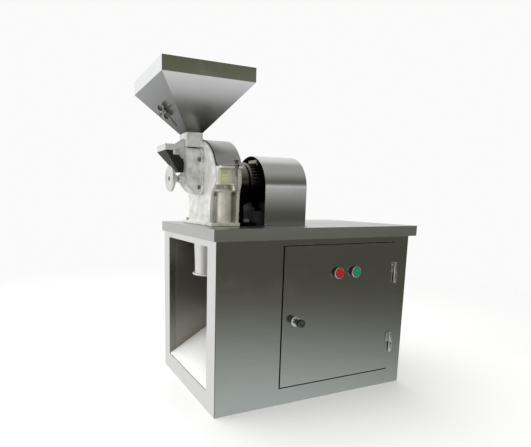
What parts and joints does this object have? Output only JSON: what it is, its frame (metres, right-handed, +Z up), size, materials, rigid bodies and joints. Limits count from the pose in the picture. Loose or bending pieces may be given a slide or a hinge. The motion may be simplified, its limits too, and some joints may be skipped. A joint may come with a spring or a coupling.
{
  "type": "hammer mill",
  "caption": "Cabinet-mounted hammer mill with a square feed hopper, side funnel, handwheel throttle, covered direct-drive motor, push-button door and open collection bay.",
  "frame": {"origin": "centre of the footprint's bounding box, on the floor", "axes": "+X along the front from the collection bay towards the door hinges, +Y from front to back, +Z up"},
  "size_m": [0.7926, 0.477, 0.913],
  "materials": {
    "panel_steel": "brushed stainless sheet",
    "side_steel": "bright brushed stainless sheet",
    "bay_steel": "brushed stainless sheet, inside",
    "table_steel": "brushed stainless sheet",
    "hopper_steel": "brushed stainless sheet",
    "funnel_steel": "dark, smoked stainless sheet",
    "cover_steel": "brushed stainless sheet",
    "mill_casting": "fettled, bead-blasted casting",
    "throat_casting": "sand-cast, lightly ground",
    "machined_steel": "turned or milled",
    "wear_steel": "hardened wearing part",
    "dark_casting": "dark enamel on a casting",
    "hardware_chrome": "polished",
    "knob_metal": "dark satin",
    "nut_black": "blackened steel",
    "plate_green": "printed plate, left blank",
    "bezel_metal": "satin",
    "red_cap": "moulded",
    "green_cap": "moulded",
    "black_plastic": "moulded",
    "spider_rubber": "elastomer"
  },
  "bodies": {
    "stand": {"tabletop": "table_steel", "left_frame": "side_steel", "front_frame": "panel_steel", "right_panel": "panel_steel", "back_panel": "panel_steel", "bottom_panel": "panel_steel", "bay_liner": "bay_steel", "bay_slope_plate": "side_steel", "cable_gland": "black_plastic", "electrics_plate": "machined_steel", "contactor_and_relay": "black_plastic", "discharge_spigot": "side_steel", "lower_hinge_base": "hardware_chrome", "upper_hinge_base": "hardware_chrome", "mill_housing": "mill_casting", "wrap_cover": "cover_steel", "toothed_liner": "wear_steel", "sieve_screen": "machined_steel", "blank_rating_plate": "plate_green", "bearing_bell_housing": "dark_casting", "spindle_bearing": "machined_steel", "motor_frame": "dark_casting", "motor_drive_shield": "dark_casting", "motor_fan_shield": "dark_casting", "motor_fan_cowl": "dark_casting", "motor_plinth": "dark_casting", "motor_cover": "cover_steel", "feed_throat": "throat_casting", "feed_duct": "throat_casting", "feed_hopper": "hopper_steel", "side_funnel": "funnel_steel"},
    "cabinet_door": {"cabinet_door": "panel_steel", "lower_hinge_barrel": "hardware_chrome", "upper_hinge_barrel": "hardware_chrome", "stop_button_body": "bezel_metal", "start_button_body": "bezel_metal", "latch_rosette": "hardware_chrome"},
    "stop_button": {"stop_button": "red_cap"},
    "start_button": {"start_button": "green_cap"},
    "door_latch": {"latch_knob": "knob_metal", "latch_cam": "machined_steel"},
    "feed_gate": {"feed_gate": "machined_steel"},
    "gate_wing_nut": {"gate_wing_nut": "machined_steel"},
    "throttle": {"throttle_plate": "machined_steel"},
    "handwheel": {"handwheel": "side_steel", "throttle_screw": "machined_steel"},
    "swing_bolt": {"swing_bolt": "machined_steel"},
    "swing_bolt_nut": {"swing_bolt_nut": "nut_black"},
    "rotor": {"mill_spindle": "machined_steel", "rotor_disc_stack": "wear_steel", "coupling_mill_hub": "machined_steel", "coupling_motor_hub": "machined_steel", "coupling_spider": "spider_rubber", "motor_rotor": "machined_steel", "motor_fan": "black_plastic"},
    "hammer_1": {"hammer_1": "wear_steel"},
    "hammer_2": {"hammer_2": "wear_steel"},
    "hammer_3": {"hammer_3": "wear_steel"},
    "hammer_4": {"hammer_4": "wear_steel"}
  },
  "joints": [
    {"name": "cabinet_door_swing", "type": "hinge", "parent": "stand", "child": "cabinet_door", "pos_m": [0.31725, -0.2118, 0.25], "axis": [0, 0, 1], "range_deg": [0, 110]},
    {"name": "stop_button_push", "type": "slide", "parent": "cabinet_door", "child": "stop_button", "axis": [0, 1, 0], "range_m": [0, 0.004], "stiffness_N_per_m": 700},
    {"name": "start_button_push", "type": "slide", "parent": "cabinet_door", "child": "start_button", "axis": [0, 1, 0], "range_m": [0, 0.004], "stiffness_N_per_m": 700},
    {"name": "door_latch_turn", "type": "hinge", "parent": "cabinet_door", "child": "door_latch", "pos_m": [-0.03575, -0.2055, 0.24], "axis": [0, -1, 0], "range_deg": [0, 90]},
    {"name": "feed_gate_slide", "type": "slide", "parent": "stand", "child": "feed_gate", "axis": [0.6577, 0, -0.7533], "range_m": [0, 0.046]},
    {"name": "gate_wing_nut_turn", "type": "hinge", "parent": "feed_gate", "child": "gate_wing_nut", "pos_m": [-0.34232, 0.0125, 0.81473], "axis": [-0.7533, 0, -0.6577], "range_deg": [0, 360]},
    {"name": "throttle_slide", "type": "slide", "parent": "stand", "child": "throttle", "axis": [-1, 0, 0], "range_m": [0, 0.016]},
    {"name": "handwheel_turn", "type": "hinge", "parent": "throttle", "child": "handwheel", "pos_m": [-0.33175, 0.0045, 0.63], "axis": [-1, 0, 0], "range_deg": [0, 1440]},
    {"name": "swing_bolt_swing", "type": "hinge", "parent": "stand", "child": "swing_bolt", "pos_m": [-0.18875, -0.1265, 0.602], "axis": [1, 0, 0], "range_deg": [0, 110]},
    {"name": "swing_bolt_nut_turn", "type": "hinge", "parent": "swing_bolt", "child": "swing_bolt_nut", "pos_m": [-0.18875, -0.1265, 0.672], "axis": [0, 0, 1], "range_deg": [0, 360]},
    {"name": "rotor_spin", "type": "hinge", "parent": "stand", "child": "rotor", "pos_m": [-0.20375, 0.0045, 0.62], "axis": [1, 0, 0], "continuous": true},
    {"name": "hammer_1_swing", "type": "hinge", "parent": "rotor", "child": "hammer_1", "pos_m": [-0.20425, 0.0365, 0.652], "axis": [1, 0, 0], "continuous": true},
    {"name": "hammer_2_swing", "type": "hinge", "parent": "rotor", "child": "hammer_2", "pos_m": [-0.20425, -0.0275, 0.652], "axis": [1, 0, 0], "continuous": true},
    {"name": "hammer_3_swing", "type": "hinge", "parent": "rotor", "child": "hammer_3", "pos_m": [-0.20425, -0.0275, 0.588], "axis": [1, 0, 0], "continuous": true},
    {"name": "hammer_4_swing", "type": "hinge", "parent": "rotor", "child": "hammer_4", "pos_m": [-0.20425, 0.0365, 0.588], "axis": [1, 0, 0], "continuous": true}
  ],
  "couplings": [
    {"joint": "throttle_slide", "follows": "handwheel_turn", "m_per_rad": 0.000636}
  ]
}
